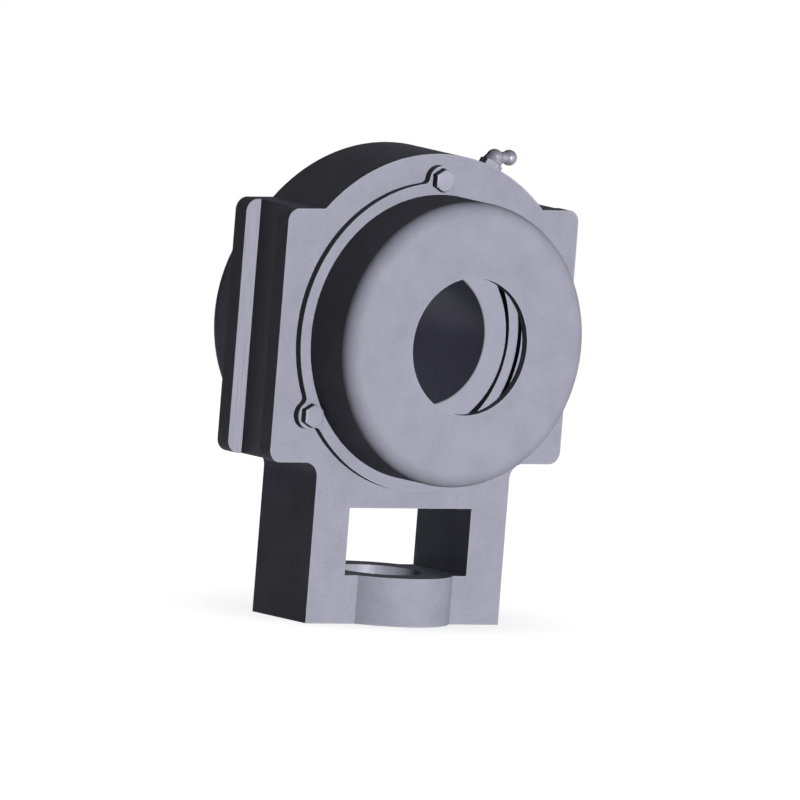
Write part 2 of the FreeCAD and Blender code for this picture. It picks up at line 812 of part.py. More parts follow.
grease_fitting = new_body("grease_fitting")
stem_sketch = sketch_on(grease_fitting, "YZ_Plane", "stem")
thread_end = -size("fitting_thread_length")
outline(stem_sketch, [(zero, thread_end), (stem, thread_end), (stem, hexagon_top),
                      (hexagon_face, hexagon_top), (elbow, elbow_z), (zero, elbow_z)])
turned(grease_fitting, "Revolution", stem_sketch, "V_Axis")

hexagon_sketch = sketch_on(grease_fitting, "XY_Plane", "hexagon")
hexagon(hexagon_sketch, size("fitting_flats"))
straight(grease_fitting, "Pad", hexagon_sketch, hexagon_top)
hexagon_corner = size("fitting_flats") / root(as_size(3))
hexagon_bevel = (hexagon_corner - hexagon_face) / root(as_size(3))
bevel_sketch = sketch_on(grease_fitting, "YZ_Plane", "hexagon_bevel")
outline(bevel_sketch, [(hexagon_face, hexagon_top), (hexagon_corner, hexagon_top - hexagon_bevel),
                       (hexagon_corner, hexagon_top)])
turned(grease_fitting, "Groove", bevel_sketch, "V_Axis")
ball_shape(grease_fitting, "AdditiveSphere", "elbow", elbow, elbow_z)


def nozzle_sketch(name):
    """A sketch through the elbow's centre whose second axis runs along the nozzle."""
    sketch = grease_fitting.newObject("Sketcher::SketchObject", f"grease_fitting_{name}")
    sketch.AttachmentSupport = [(origin_feature(grease_fitting, "XZ_Plane"), "")]
    sketch.MapMode = "FlatFace"
    sketch.AttachmentOffset = Placement(Vector(), Rotation(Vector(0, 0, 1), nozzle_turn.value))
    bind(sketch, "AttachmentOffset.Rotation.Angle", nozzle_turn)
    bind(sketch, "AttachmentOffset.Base.y", elbow_z)
    return sketch


nozzle = nozzle_sketch("nozzle")
outline(nozzle, [
    (zero, zero), (neck, zero), (neck, head_centre - across(head, neck), head, 1),
    (tip, tip_end), (zero, tip_end),
])
turned(grease_fitting, "Revolution", nozzle, "V_Axis")

passage_sketch = sketch_on(grease_fitting, "YZ_Plane", "passage")
rectangle(passage_sketch, zero, thread_end, passage, elbow_z)
turned(grease_fitting, "Groove", passage_sketch, "V_Axis")

valve_cone_end = valve_seat + (chamber - mouth) * 2
inlet = half("fitting_inlet_diameter")
valve = nozzle_sketch("valve")
outline(valve, [
    (zero, zero), (inlet, zero), (inlet, chamber_start), (chamber, chamber_start),
    (chamber, valve_seat), (mouth, valve_cone_end), (mouth, tip_end), (zero, tip_end),
])
turned(grease_fitting, "Groove", valve, "V_Axis")

spot_x = spot_radius * cosine(grease_angle)
spot_z = spot_radius * sine(grease_angle)
grease_fitting.Placement = Placement(
    Vector(), Rotation(Vector(0, 1, 0), grease_turn.value)
)
bind(grease_fitting, "Placement.Rotation.Angle", grease_turn)
bind(grease_fitting, "Placement.Base.x", spot_x)
bind(grease_fitting, "Placement.Base.z", spot_z)

# The check ball rests on the cone behind the fitting's mouth, and a spring holds it there. The
# cone narrows by one part in two, so the ball's touching point follows from its slope.
nozzle_angle = grease_angle - bend
elbow_radius = spot_radius + elbow_z
elbow_x = elbow_radius * cosine(grease_angle)
elbow_height = elbow_radius * sine(grease_angle)
check_radius = half("fitting_ball_diameter")
slope_cosine = as_size(2) / root(as_size(5))
check_way = valve_seat + (
    chamber - (check_radius + size("fitting_ball_clearance")) / slope_cosine
) * 2
check_ball = doc.addObject("Part::Sphere", "fitting_ball")
check_ball.Label = "fitting_ball"
bind(check_ball, "Radius", check_radius)
bind(check_ball, "Placement.Base.x", elbow_x + check_way * cosine(nozzle_angle))
bind(check_ball, "Placement.Base.z", elbow_height + check_way * sine(nozzle_angle))
parts.append(check_ball)

wire = half("fitting_spring_wire")
coil = half("fitting_spring_diameter") - wire
spring_start = chamber_start + wire
spring_end = check_way - across(check_radius + wire + size("fitting_ball_clearance"), coil)
spring = new_body("fitting_spring")
wire_sketch = sketch_on(spring, "XZ_Plane", "wire")
circle(wire_sketch, wire, coil, zero)
winding = spring.newObject("PartDesign::AdditiveHelix", "fitting_spring_winding")
winding.Profile = wire_sketch
winding.ReferenceAxis = (wire_sketch, ["V_Axis"])
winding.Mode = "height-turns-angle"
bind(winding, "Height", spring_end - spring_start)
bind(winding, "Turns", size("fitting_spring_turns"))
spring.Tip = winding
spring.Placement = Placement(Vector(), Rotation(Vector(0, 1, 0), 90 - nozzle_angle.value))
bind(spring, "Placement.Rotation.Angle", as_size(90) - nozzle_angle)
bind(spring, "Placement.Base.x", elbow_x + spring_start * cosine(nozzle_angle))
bind(spring, "Placement.Base.z", elbow_height + spring_start * sine(nozzle_angle))

doc.recompute()

# Every feature and every piece is checked before anything is written.
for item in doc.Objects:
    if "Invalid" in item.State or "Error" in item.State:
        raise RuntimeError(f"{item.Name} failed: {item.State}")
for piece in parts:
    if piece.Shape.isNull() or not piece.Shape.isValid():
        raise RuntimeError(f"{piece.Label} has no valid shape")
    if len(piece.Shape.Solids) != 1:
        raise RuntimeError(f"{piece.Label} is {len(piece.Shape.Solids)} solids")

os.makedirs("parts", exist_ok=True)
for piece in parts:
    piece.Shape.exportStep(f"parts/{piece.Label}.step")
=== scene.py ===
from math import cos, pi, radians, sin

import bpy
from mathutils import Matrix, Vector


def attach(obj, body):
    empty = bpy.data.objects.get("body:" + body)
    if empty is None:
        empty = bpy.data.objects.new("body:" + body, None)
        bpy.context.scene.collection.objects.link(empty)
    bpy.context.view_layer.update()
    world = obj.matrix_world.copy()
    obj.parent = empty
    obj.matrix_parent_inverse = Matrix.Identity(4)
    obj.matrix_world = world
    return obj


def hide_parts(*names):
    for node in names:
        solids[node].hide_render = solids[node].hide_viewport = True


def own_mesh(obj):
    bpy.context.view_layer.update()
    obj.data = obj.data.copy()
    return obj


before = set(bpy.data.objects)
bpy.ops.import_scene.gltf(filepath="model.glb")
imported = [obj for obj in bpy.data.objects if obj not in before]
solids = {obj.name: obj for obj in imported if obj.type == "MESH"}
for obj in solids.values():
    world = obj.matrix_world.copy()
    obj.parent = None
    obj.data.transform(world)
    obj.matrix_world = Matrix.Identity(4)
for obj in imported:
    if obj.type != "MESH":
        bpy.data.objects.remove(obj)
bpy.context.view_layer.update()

# Housing: one grey iron sand casting under a coat of lavender grey enamel. The guide slots, the
# hole of the adjusting screw, the foot and the spot face of the grease fitting are machined bare.
# The enamel keeps the fine grain of the sand, with painted shade in its hollows and pores, and it
# is thin along the outside edges.
enamel = (0.388, 0.383, 0.472, 1)
enamel_deep = (0.356, 0.351, 0.434, 1)
# Colour of the painted shade in the low places and pores of the sand grain
hollow_painted_shade = (0.300, 0.296, 0.368, 1)
primer = (0.414, 0.409, 0.492, 1)
bare_iron = (0.427, 0.421, 0.502, 1)
bare_iron_dark = (0.346, 0.341, 0.412, 1)

enamel_shine = 0.16
enamel_rough, enamel_smooth = 0.62, 0.52
# Where the painted shade of the grain's hollows begins and how dark it gets, in them and in the
# pores
hollow_edge, hollow_floor = 0.54, 0.38
hollow_shade_strength = 0.4
pore_shade_strength = 0.1
bare_rough, bare_smooth = 0.52, 0.42
bare_metal = 0.1
cutter_depth_share = 0.25
cast_edge_radius = 0.0005

housing_grain = 0.0016
housing_grain_depth = 0.00022
housing_wear = 0.46

slot_floor_x = 0.0755
slot_wall_y = 0.013
screw_hole_radius = 0.0205
boss_top_z = -0.114
foot_z = -0.137
spot_face_radius = 0.007
spot_face_height = 0.0864
spot_face_way = (0.5, 0, 0.8660254)
machining_margin = 0.00008


def add(tree, kind, sockets=None, **settings):
    """Adds a node. A socket takes a plain value, or another node's output, which is linked."""
    made = tree.nodes.new(kind)
    for name, value in settings.items():
        setattr(made, name, value)
    for name, value in (sockets or {}).items():
        if isinstance(value, bpy.types.NodeSocket):
            tree.links.new(value, made.inputs[name])
        else:
            made.inputs[name].default_value = value
    return made


def reckon(tree, operation, first, second=0.0, third=0.0, clamp=False):
    """Works out one sum from plain numbers or outputs, and gives its output."""
    sockets = {0: first, 1: second, 2: third}
    return add(tree, "ShaderNodeMath", sockets, operation=operation, use_clamp=clamp).outputs[0]


def spread(tree, value, low, high, new_low=0.0, new_high=1.0):
    """Maps the stretch from low to high onto new_low to new_high, and holds the ends."""
    sockets = {"Value": value, "From Min": low, "From Max": high,
               "To Min": new_low, "To Max": new_high}
    return add(tree, "ShaderNodeMapRange", sockets).outputs["Result"]


def tint(tree, mask, first, second):
    """The first colour where the mask is 0, the second where it is 1. The two colours are the
    mix node's inputs 6 and 7."""
    sockets = {0: mask, 6: first, 7: second}
    return add(tree, "ShaderNodeMix", sockets, data_type="RGBA").outputs[2]


def blend(tree, mask, first, second):
    """The first number where the mask is 0, the second where it is 1. The two numbers are the
    mix node's inputs 2 and 3."""
    return add(tree, "ShaderNodeMix", {0: mask, 2: first, 3: second}).outputs[0]


def shared_effect(name, inputs, outputs):
    """An empty node group with named sockets, and its two end nodes."""
    group = bpy.data.node_groups.new(name, "ShaderNodeTree")
    for label, usual in inputs:
        kind = "NodeSocketVector" if isinstance(usual, tuple) else "NodeSocketFloat"
        socket = group.interface.new_socket(label, in_out="INPUT", socket_type=kind)
        socket.default_value = usual
    for label in outputs:
        group.interface.new_socket(label, in_out="OUTPUT", socket_type="NodeSocketFloat")
    return group, group.nodes.new("NodeGroupInput"), group.nodes.new("NodeGroupOutput")


def place_effect(tree, group, **values):
    """Puts a shared effect into a material with its own values."""
    used = tree.nodes.new("ShaderNodeGroup")
    used.node_tree = group
    for name, value in values.items():
        used.inputs[name.replace("_", " ")].default_value = value
    return used.outputs


def new_finish(name, metallic, shine):
    """A material with a single Principled BSDF, whose even values sit on its own sockets."""
    material = bpy.data.materials.new(name)
    material.use_nodes = True
    tree = material.node_tree
    shader = tree.nodes["Principled BSDF"]
    shader.inputs["Metallic"].default_value = metallic
    shader.inputs["Specular IOR Level"].default_value = shine
    return material, tree, shader


def dress(tree, shader, colour, roughness, height, depth, edge_radius):
    """Gives the surface its colour, its roughness and a bump depth metres deep at most, and
    makes its edges look rounded to edge_radius."""
    tree.links.new(colour, shader.inputs["Base Color"])
    tree.links.new(roughness, shader.inputs["Roughness"])
    softened = add(tree, "ShaderNodeBevel", {"Radius": edge_radius}, samples=6)
    bump = add(tree, "ShaderNodeBump",
               {"Strength": 1.0, "Distance": depth, "Height": height,
                "Normal": softened.outputs["Normal"]})
    tree.links.new(bump.outputs["Normal"], shader.inputs["Normal"])


def finish_nodes(names, material):
    """Puts the material on the CAD solids of these names."""
    for name in names:
        for slot in solids[name].material_slots:
            slot.material = material


# Sand grain, long waves and small pores of a cast skin. Pores sit on the swell of the waves.
grain_share, wave_share, pore_share = 0.55, 0.45, -0.35
pores_per_grain = 0.4
patches_per_wave = 0.5
pore_core, pore_edge = 0.06, 0.24
pores_begin, pores_full = 0.52, 0.62
mottle_low, mottle_high = 0.34, 0.66

sand_skin, given, result = shared_effect(
    "sand_skin", (("Grain Size", 0.0014), ("Wave Size", 0.014)), ("Height", "Mottle", "Pores"))
place = add(sand_skin, "ShaderNodeTexCoord").outputs["Object"]
grain_scale = reckon(sand_skin, "DIVIDE", 1.0, given.outputs["Grain Size"])
wave_scale = reckon(sand_skin, "DIVIDE", 1.0, given.outputs["Wave Size"])
grain = add(sand_skin, "ShaderNodeTexNoise",
            {"Vector": place, "Scale": grain_scale, "Detail": 4.0, "Roughness": 0.62})
wave = add(sand_skin, "ShaderNodeTexNoise", {"Vector": place, "Scale": wave_scale, "Detail": 2.0})
cell_scale = reckon(sand_skin, "MULTIPLY", grain_scale, pores_per_grain)
cells = add(sand_skin, "ShaderNodeTexVoronoi", {"Vector": place, "Scale": cell_scale})
holes = spread(sand_skin, cells.outputs["Distance"], pore_core, pore_edge, 1.0, 0.0)
where = spread(sand_skin, wave.outputs["Fac"], pores_begin, pores_full)
pores = reckon(sand_skin, "MULTIPLY", holes, where)
height = reckon(sand_skin, "MULTIPLY", grain.outputs["Fac"], grain_share)
height = reckon(sand_skin, "MULTIPLY_ADD", wave.outputs["Fac"], wave_share, height)
height = reckon(sand_skin, "MULTIPLY_ADD", pores, pore_share, height)
patch_scale = reckon(sand_skin, "MULTIPLY", wave_scale, patches_per_wave)
patches = add(sand_skin, "ShaderNodeTexNoise",
              {"Vector": place, "Scale": patch_scale, "Detail": 5.0, "Roughness": 0.6})
mottle = spread(sand_skin, patches.outputs["Fac"], mottle_low, mottle_high)
sand_skin.links.new(height, result.inputs["Height"])
sand_skin.links.new(mottle, result.inputs["Mottle"])
sand_skin.links.new(pores, result.inputs["Pores"])

# Wear along outside edges, broken into patches
flat_shade, corner_shade = 0.98, 0.60
edge_pull = 0.5
patch_softness = 0.25

edge_wear, given, result = shared_effect(
    "edge_wear", (("Edge Width", 0.0012), ("Patch Size", 0.006), ("Cover", 0.5)), ("Mask",))
place = add(edge_wear, "ShaderNodeTexCoord").outputs["Object"]
inside = add(edge_wear, "ShaderNodeAmbientOcclusion", {"Distance": given.outputs["Edge Width"]},
             samples=8, inside=True, only_local=True)
edge = spread(edge_wear, inside.outputs["AO"], flat_shade, corner_shade)
patch_scale = reckon(edge_wear, "DIVIDE", 1.0, given.outputs["Patch Size"])
patches = add(edge_wear, "ShaderNodeTexNoise",
              {"Vector": place, "Scale": patch_scale, "Detail": 6.0, "Roughness": 0.7})
lowest = reckon(edge_wear, "SUBTRACT", 1.0, given.outputs["Cover"])
highest = reckon(edge_wear, "ADD", lowest, patch_softness)
rubbing = reckon(edge_wear, "MULTIPLY_ADD", edge, edge_pull, patches.outputs["Fac"])
worn = spread(edge_wear, rubbing, lowest, highest)
edge_wear.links.new(reckon(edge_wear, "MULTIPLY", worn, edge, clamp=True), result.inputs["Mask"])

# Fine marks of a cutter that ran along Z
breaks_per_metre = 60.0
streak_low, streak_high = 0.35, 0.65

cutter_marks, given, result = shared_effect(
    "cutter_marks", (("Line Spacing", 0.0004),), ("Height", "Streak"))
place = add(cutter_marks, "ShaderNodeTexCoord").outputs["Object"]
across_scale = reckon(cutter_marks, "DIVIDE", 1.0, given.outputs["Line Spacing"])
axes = add(cutter_marks, "ShaderNodeSeparateXYZ", {"Vector": place})
lines_at = add(cutter_marks, "ShaderNodeCombineXYZ", {
    "X": reckon(cutter_marks, "MULTIPLY", axes.outputs["X"], across_scale),
    "Y": reckon(cutter_marks, "MULTIPLY", axes.outputs["Y"], across_scale),
    "Z": reckon(cutter_marks, "MULTIPLY", axes.outputs["Z"], breaks_per_metre),
})
lines = add(cutter_marks, "ShaderNodeTexNoise",
            {"Vector": lines_at.outputs["Vector"], "Scale": 1.0, "Detail": 2.0})
streak = spread(cutter_marks, lines.outputs["Fac"], streak_low, streak_high)
cutter_marks.links.new(lines.outputs["Fac"], result.inputs["Height"])
cutter_marks.links.new(streak, result.inputs["Streak"])


def machined_places(tree):
    """1 on the faces of the housing that a cutter has bared."""
    place = add(tree, "ShaderNodeTexCoord").outputs["Object"]
    axes = add(tree, "ShaderNodeSeparateXYZ", {"Vector": place})
    x, y, z = (axes.outputs[name] for name in "XYZ")
    beyond_x = reckon(tree, "GREATER_THAN", reckon(tree, "ABSOLUTE", x),
                      slot_floor_x - machining_margin)
    within_y = reckon(tree, "LESS_THAN", reckon(tree, "ABSOLUTE", y),
                      slot_wall_y + machining_margin)
    slots = reckon(tree, "MULTIPLY", beyond_x, within_y)
    flat = add(tree, "ShaderNodeCombineXYZ", {"X": x, "Y": y})
    reach = add(tree, "ShaderNodeVectorMath", {0: flat.outputs["Vector"]}, operation="LENGTH")
    near_axis = reckon(tree, "LESS_THAN", reach.outputs["Value"],
                       screw_hole_radius + machining_margin)
    below = reckon(tree, "LESS_THAN", z, boss_top_z + machining_margin)
    hole = reckon(tree, "MULTIPLY", near_axis, below)
    foot = reckon(tree, "LESS_THAN", z, foot_z + machining_margin)
    height = add(tree, "ShaderNodeVectorMath", {0: place, 1: spot_face_way},
                 operation="DOT_PRODUCT").outputs["Value"]
    level = reckon(tree, "COMPARE", height, spot_face_height, machining_margin)
    along = add(tree, "ShaderNodeVectorMath", {0: place, 1: spot_face_way}, operation="PROJECT")
    aside = add(tree, "ShaderNodeVectorMath", {0: place, 1: along.outputs["Vector"]},
                operation="DISTANCE")
    around = reckon(tree, "LESS_THAN", aside.outputs["Value"],
                    spot_face_radius + machining_margin)
    spot = reckon(tree, "MULTIPLY", level, around)
    first = reckon(tree, "MAXIMUM", slots, hole)
    second = reckon(tree, "MAXIMUM", foot, spot)
    return reckon(tree, "MAXIMUM", first, second)


def enamel_finish(name, grain_size, grain_depth, wear_cover, machined):
    """Enamel over a cast skin, and bare cut iron where the casting was machined."""
    material, tree, shader = new_finish(name, metallic=0.0, shine=enamel_shine)
    sand = place_effect(tree, sand_skin, Grain_Size=grain_size)
    wear = place_effect(tree, edge_wear, Cover=wear_cover)["Mask"]
    painted = tint(tree, sand["Mottle"], enamel_deep, enamel)
    # Painted shade: the enamel is darkened where the sand grain is low and in its pores
    shaded_hollows = spread(tree, sand["Height"], hollow_edge, hollow_floor, 0.0, hollow_shade_strength)
    shaded_hollows = reckon(tree, "MULTIPLY_ADD", sand["Pores"], pore_shade_strength, shaded_hollows)
    painted = tint(tree, shaded_hollows, painted, hollow_painted_shade)
    painted = tint(tree, wear, painted, primer)
    roughness = spread(tree, sand["Mottle"], 0.0, 1.0, enamel_rough, enamel_smooth)
    height = sand["Height"]
    if machined:
        bared = machined_places(tree)
        marks = place_effect(tree, cutter_marks)
        iron = tint(tree, marks["Streak"], bare_iron_dark, bare_iron)
        painted = tint(tree, bared, painted, iron)
        bared_roughness = spread(tree, marks["Streak"], 0.0, 1.0, bare_rough, bare_smooth)
        roughness = blend(tree, bared, roughness, bared_roughness)
        cut_height = reckon(tree, "MULTIPLY", marks["Height"], cutter_depth_share)
        height = blend(tree, bared, height, cut_height)
        tree.links.new(reckon(tree, "MULTIPLY", bared, bare_metal), shader.inputs["Metallic"])
    dress(tree, shader, painted, roughness, height, grain_depth, cast_edge_radius)
    return material


housing_enamel = enamel_finish("housing_enamel", housing_grain, housing_grain_depth,
                               housing_wear, machined=True)
finish_nodes(["housing"], housing_enamel)

# End covers: two thin cast shells in the same enamel, each held by three bolts through its ears.
# Their sand was finer than the housing's, so their skin is smoother.
cover_grain = 0.0011
cover_grain_depth = 0.00014
cover_wear = 0.36

cover_enamel = enamel_finish("cover_enamel", cover_grain, cover_grain_depth, cover_wear,
                             machined=False)
finish_nodes(["front_cover", "rear_cover"], cover_enamel)

# Cover bolts: six hexagon head screws of zinc plated steel. The heads were faced on a lathe, so
# fine rings run round each axis, and a spanner has rubbed the corners.
zinc = (0.396, 0.391, 0.476, 1)
zinc_dull = (0.352, 0.347, 0.426, 1)
rubbed_zinc = (0.466, 0.461, 0.544, 1)
zinc_metal = 0.3
zinc_shine = 0.25
zinc_rough, zinc_smooth = 0.50, 0.38
zinc_depth = 0.00003
cloud_share = 0.5
bolt_line_spacing = 0.00025
small_edge_radius = 0.0003
bolt_circle = 0.075
bolt_angles = (90, 210, 330)

# Rings left by a lathe or a grinding wheel round an axis along Y
ring_low, ring_high = 0.32, 0.68

turned_rings, given, result = shared_effect(
    "turned_rings", (("Centre", (0.0, 0.0, 0.0)), ("Line Spacing", 0.0003)),
    ("Height", "Streak"))
place = add(turned_rings, "ShaderNodeTexCoord").outputs["Object"]
from_axis = add(turned_rings, "ShaderNodeVectorMath", {0: place, 1: given.outputs["Centre"]},
                operation="SUBTRACT").outputs["Vector"]
axes = add(turned_rings, "ShaderNodeSeparateXYZ", {"Vector": from_axis})
flat = add(turned_rings, "ShaderNodeCombineXYZ",
           {"X": axes.outputs["X"], "Y": axes.outputs["Z"]})
reach = add(turned_rings, "ShaderNodeVectorMath", {0: flat.outputs["Vector"]},
            operation="LENGTH")
line_scale = reckon(turned_rings, "DIVIDE", 1.0, given.outputs["Line Spacing"])
ring_at = add(turned_rings, "ShaderNodeCombineXYZ", {
    "X": reckon(turned_rings, "MULTIPLY", reach.outputs["Value"], line_scale),
    "Y": reckon(turned_rings, "MULTIPLY", axes.outputs["Y"], line_scale),
})
rings = add(turned_rings, "ShaderNodeTexNoise",
            {"Vector": ring_at.outputs["Vector"], "Scale": 1.0, "Detail": 2.0},
            noise_dimensions="2D")
streak = spread(turned_rings, rings.outputs["Fac"], ring_low, ring_high)
turned_rings.links.new(rings.outputs["Fac"], result.inputs["Height"])
turned_rings.links.new(streak, result.inputs["Streak"])


def zinc_finish(name, centre, line_spacing):
    """Plated steel that was turned round an axis along Y through centre."""
    material, tree, shader = new_finish(name, zinc_metal, zinc_shine)
    rings = place_effect(tree, turned_rings, Centre=centre, Line_Spacing=line_spacing)
    wear = place_effect(tree, edge_wear, Edge_Width=0.0006, Patch_Size=0.0015, Cover=0.6)["Mask"]
    cloud = place_effect(tree, sand_skin, Grain_Size=0.0004, Wave_Size=0.002)
    colour = tint(tree, cloud["Mottle"], zinc_dull, zinc)
    colour = tint(tree, wear, colour, rubbed_zinc)
    roughness = spread(tree, rings["Streak"], 0.0, 1.0, zinc_rough, zinc_smooth)
    height = reckon(tree, "MULTIPLY_ADD", cloud["Height"], cloud_share, rings["Height"])
    dress(tree, shader, colour, roughness, height, zinc_depth, small_edge_radius)
    return material


for number, angle in enumerate(bolt_angles, start=1):
    centre = Matrix.Rotation(radians(-angle), 3, "Y") @ Vector((bolt_circle, 0, 0))
    plated = zinc_finish(f"bolt_zinc_{number}", tuple(centre), bolt_line_spacing)
    finish_nodes([f"front_cover_bolt_{number}", f"rear_cover_bolt_{number}"], plated)

# Rings and balls of the insert: through hardened bearing steel. The rings are ground, which leaves
# very fine lines round the shaft's axis. The balls are lapped bright and have no such lines.
ground_steel = (0.430, 0.424, 0.522, 1)
ground_steel_dark = (0.388, 0.383, 0.472, 1)
lapped_steel = (0.640, 0.640, 0.670, 1)
lapped_steel_dull = (0.540, 0.540, 0.570, 1)
ground_shine = 0.12
film_rough_rise = 0.10
lapped_metal = 0.9
lapped_shine = 0.5
lapped_rough, lapped_smooth = 0.18, 0.10
lapped_depth = 0.000002


def ground_finish(name, metallic, light, dark, line_spacing, smooth, depth):
    """Steel with fine lines round the shaft's axis under a thin uneven film of oil."""
    material, tree, shader = new_finish(name, metallic, ground_shine)
    rings = place_effect(tree, turned_rings, Line_Spacing=line_spacing)
    film = place_effect(tree, sand_skin, Grain_Size=0.0006, Wave_Size=0.005)
    half_of_lines = reckon(tree, "MULTIPLY", rings["Streak"], 0.5)
    mask = reckon(tree, "MULTIPLY_ADD", film["Mottle"], 0.5, half_of_lines)
    colour = tint(tree, mask, dark, light)
    roughness = spread(tree, mask, 0.0, 1.0, smooth + film_rough_rise, smooth)
    dress(tree, shader, colour, roughness, rings["Height"], depth, small_edge_radius)
    return material


ring_finish = ground_finish("ring_steel", metallic=0.04, light=ground_steel,
                            dark=ground_steel_dark, line_spacing=0.00022, smooth=0.36,
                            depth=0.00001)
finish_nodes(["outer_ring", "inner_ring"], ring_finish)

ball_finish, tree, shader = new_finish("ball_steel", lapped_metal, lapped_shine)
film = place_effect(tree, sand_skin, Grain_Size=0.0008, Wave_Size=0.006)
colour = tint(tree, film["Mottle"], lapped_steel_dull, lapped_steel)
roughness = spread(tree, film["Mottle"], 0.0, 1.0, lapped_rough, lapped_smooth)
dress(tree, shader, colour, roughness, film["Height"], lapped_depth, small_edge_radius)
finish_nodes([f"ball_{number:02d}" for number in range(1, 11)], ball_finish)

# Cage: two rings pressed from cold rolled strip and joined by ten rivets. A film of grease and
# the press have left it duller than the balls.
strip = (0.420, 0.415, 0.440, 1)
strip_dark = (0.300, 0.296, 0.315, 1)

cage_finish = ground_finish("cage_strip", metallic=0.6, light=strip, dark=strip_dark,
                            line_spacing=0.0006, smooth=0.38, depth=0.00001)
finish_nodes(["cage_front", "cage_rear"] + [f"cage_rivet_{number:02d}" for number in range(1, 11)],
             cage_finish)

# Seals: two discs of moulded nitrile rubber, snapped into the outer ring. The mould left them
# matt, with a faint bloom.
rubber = (0.300, 0.292, 0.360, 1)
rubber_bloom = (0.350, 0.341, 0.420, 1)
rubber_shine = 0.4
rubber_smooth, rubber_rough = 0.62, 0.74
rubber_depth = 0.00004
fine_edge_radius = 0.0002

seal_rubber, tree, shader = new_finish("seal_rubber", metallic=0.0, shine=rubber_shine)
bloom = place_effect(tree, sand_skin, Grain_Size=0.0003, Wave_Size=0.004)
colour = tint(tree, bloom["Mottle"], rubber, rubber_bloom)
roughness = spread(tree, bloom["Mottle"], 0.0, 1.0, rubber_smooth, rubber_rough)
dress(tree, shader, colour, roughness, bloom["Height"], rubber_depth, fine_edge_radius)
finish_nodes(["front_seal", "rear_seal"], seal_rubber)

# Set screws: socket screws of blackened alloy steel in the long side of the inner ring. Their cup
# points grip the shaft. A key and the thread have rubbed the black off their edges.
black_oxide = (0.045, 0.045, 0.050, 1)
oxide_worn = (0.200, 0.198, 0.205, 1)
oxide_metal = 0.6
oxide_shine = 0.5
oxide_smooth, oxide_rough = 0.34, 0.48
oxide_depth = 0.00002

blackened, tree, shader = new_finish("set_screw_black", oxide_metal, oxide_shine)
oil = place_effect(tree, sand_skin, Grain_Size=0.0003, Wave_Size=0.002)
rubbed = place_effect(tree, edge_wear, Edge_Width=0.0005, Patch_Size=0.0012, Cover=0.6)["Mask"]
colour = tint(tree, rubbed, black_oxide, oxide_worn)
roughness = spread(tree, oil["Mottle"], 0.0, 1.0, oxide_smooth, oxide_rough)
dress(tree, shader, colour, roughness, oil["Height"], oxide_depth, fine_edge_radius)
finish_nodes(["set_screw_1", "set_screw_2"], blackened)

# Grease fitting: bent, turned from bar and zinc plated, screwed into the top of the housing. Its
# mouth is shut by a check ball.
fitting_line_spacing = 0.0004

fitting_zinc = zinc_finish("fitting_zinc", (0.0, 0.0, 0.0), fitting_line_spacing)
finish_nodes(["grease_fitting", "fitting_ball"], fitting_zinc)

# Check spring: five turns of plated spring wire in the fitting's nozzle, which press the check
# ball against its cone.
spring_foot = Vector((0.049875, 0.0, 0.0826188))
spring_length = 0.005685
coil_radius = 0.000825
wire_radius = 0.000175
coil_turns = 5
steps_per_turn = 24

winding = bpy.data.curves.new("check_spring_winding", "CURVE")
winding.dimensions = "3D"
winding.bevel_depth = wire_radius
winding.bevel_resolution = 3
winding.use_fill_caps = True
wire = winding.splines.new("POLY")
wire.points.add(coil_turns * steps_per_turn)
for number, point in enumerate(wire.points):
    turned = 2 * pi * number / steps_per_turn
    along = spring_length * number / (coil_turns * steps_per_turn)
    place = spring_foot + Vector((along, coil_radius * sin(turned), -coil_radius * cos(turned)))
    point.co = (*place, 1)
wound = bpy.data.objects.new("check_spring_winding", winding)
check_spring = bpy.data.objects.new("check_spring", bpy.data.meshes.new_from_object(wound))
bpy.data.objects.remove(wound)
bpy.context.scene.collection.objects.link(check_spring)
check_spring.data.shade_smooth()
check_spring.data.materials.clear()
check_spring.data.materials.append(fitting_zinc)
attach(check_spring, "housing")
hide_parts("fitting_spring")
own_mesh(check_spring)

# Stand: a wide pale floor under the foot, white to the camera like the backdrop. A lamp overhead
# that shines on the floor alone draws the soft shadow of the unit on it.
floor_gap = 0.0001
floor_z = foot_z - floor_gap
floor_size = 1.8
floor_colour = (0.80, 0.80, 0.80, 1)
floor_glow = 0.73
overhead_way = (-0.1, -0.2, 1.0)
overhead_strength = 1.1
overhead_softness = 0.9

side = floor_size / 2
floor_mesh = bpy.data.meshes.new("floor")
floor_mesh.from_pydata([(-side, -side, floor_z), (side, -side, floor_z),
                        (side, side, floor_z), (-side, side, floor_z)], [], [(0, 1, 2, 3)])
floor = bpy.data.objects.new("floor", floor_mesh)
bpy.context.scene.collection.objects.link(floor)

pale = bpy.data.materials.new("pale_floor")
pale.use_nodes = True
tree = pale.node_tree
tree.nodes.clear()
rays = add(tree, "ShaderNodeLightPath")
seen = reckon(tree, "MAXIMUM", rays.outputs["Is Camera Ray"], rays.outputs["Is Glossy Ray"])
seen = reckon(tree, "MAXIMUM", seen, rays.outputs["Is Transmission Ray"])
matt = add(tree, "ShaderNodeBsdfDiffuse", {"Color": floor_colour})
glow = add(tree, "ShaderNodeEmission", {"Strength": reckon(tree, "MULTIPLY", seen, floor_glow)})
both = add(tree, "ShaderNodeAddShader", {0: matt.outputs[0], 1: glow.outputs[0]})
add(tree, "ShaderNodeOutputMaterial", {"Surface": both.outputs[0]})
floor_mesh.materials.append(pale)


def add_lamp(name, comes_from, strength, softness):
    """A lamp as far as the sun. Its softness is the angle that it fills, in radians."""
    light = bpy.data.lights.new(name, "SUN")
    light.energy = strength
    light.angle = softness
    lamp = bpy.data.objects.new(name, light)
    lamp.rotation_euler = Vector(comes_from).to_track_quat("Z", "Y").to_euler()
    bpy.context.scene.collection.objects.link(lamp)
    return lamp


overhead = add_lamp("overhead_lamp", overhead_way, overhead_strength, overhead_softness)
overhead.data.cycles.max_bounces = 0
floor_only = bpy.data.collections.new("floor_only")
floor_only.objects.link(floor)
overhead.light_linking.receiver_collection = floor_only

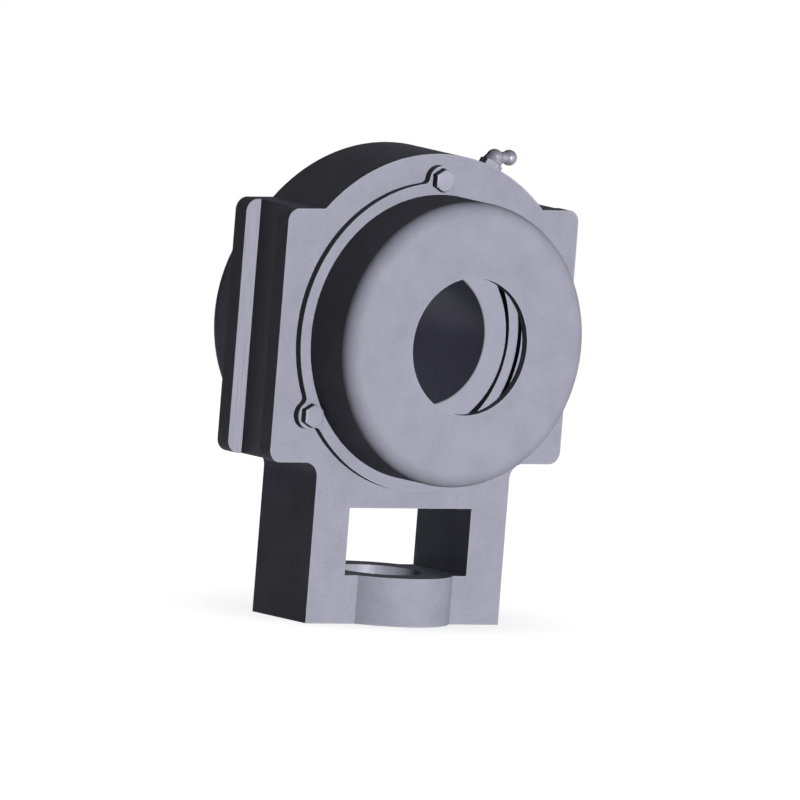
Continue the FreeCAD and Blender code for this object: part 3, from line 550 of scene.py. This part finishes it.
# Light: a plain lamp from the front that throws no shadow, one from behind on the right that
# leaves the floor alone, and a low even light all round. Mirrors see a white wall in front on the
# right, low down, and a dark room elsewhere.
ambient = 0.038
white = (1, 1, 1, 1)
wall_way = (0.5, -0.6, -0.62)
wall_begins, wall_full = 0.0, 0.6
room_glow, wall_glow = 0.03, 1.0
front_way, front_strength, front_softness = (0.0, -1.0, 0.04), 3.02, 0.1
rear_way, rear_strength, rear_softness = (0.35, 0.93, 0.03), 2.8, 0.3

world = bpy.data.worlds.new("studio")
bpy.context.scene.world = world
world.use_nodes = True
tree = world.node_tree
tree.nodes.clear()
rays = add(tree, "ShaderNodeLightPath")
toward = add(tree, "ShaderNodeTexCoord").outputs["Generated"]
facing = add(tree, "ShaderNodeVectorMath", {0: toward, 1: wall_way}, operation="DOT_PRODUCT")
wall = spread(tree, facing.outputs["Value"], wall_begins, wall_full, room_glow, wall_glow)
even = add(tree, "ShaderNodeBackground", {"Color": white, "Strength": ambient})
mirrored = add(tree, "ShaderNodeBackground", {"Color": white, "Strength": wall})
backdrop = add(tree, "ShaderNodeBackground", {"Color": white, "Strength": 1.0})
shaded = add(tree, "ShaderNodeMixShader", {0: rays.outputs["Is Glossy Ray"],
                                           1: even.outputs[0], 2: mirrored.outputs[0]})
direct = reckon(tree, "MAXIMUM", rays.outputs["Is Camera Ray"],
                rays.outputs["Is Transmission Ray"])
whole = add(tree, "ShaderNodeMixShader", {0: direct, 1: shaded.outputs[0],
                                          2: backdrop.outputs[0]})
add(tree, "ShaderNodeOutputWorld", {"Surface": whole.outputs[0]})

front_lamp = add_lamp("front_lamp", front_way, front_strength, front_softness)
front_lamp.data.use_shadow = False
front_lamp.data.cycles.max_bounces = 0
rear_lamp = add_lamp("rear_lamp", rear_way, rear_strength, rear_softness)
rear_lamp.visible_glossy = False
all_but_floor = bpy.data.collections.new("all_but_floor")
all_but_floor.objects.link(floor)
all_but_floor.collection_objects[0].light_linking.link_state = "EXCLUDE"
rear_lamp.light_linking.receiver_collection = all_but_floor

# Camera: parallel rays from the front left, a little above, rolled as the picture is. Its scale
# and the point it looks at were measured on the picture.
camera_right = Vector((0.8197, -0.5674, 0.0788))
camera_back = Vector((-0.5728, -0.8133, 0.1024)).normalized()
camera_up = camera_back.cross(camera_right).normalized()
camera_right = camera_up.cross(camera_back)
view_centre = Vector((0.001014, -0.004801, -0.032526))
view_width = 0.37792
view_distance = 1.5
view_depth = 10

lens = bpy.data.cameras.new("camera")
lens.type = "ORTHO"
lens.ortho_scale = view_width
lens.clip_end = view_depth
camera = bpy.data.objects.new("camera", lens)
turn = Matrix((camera_right, camera_up, camera_back)).transposed().to_4x4()
camera.matrix_world = Matrix.Translation(view_centre + camera_back * view_distance) @ turn
bpy.context.scene.collection.objects.link(camera)
bpy.context.scene.camera = camera
bpy.context.scene.view_settings.view_transform = "Standard"
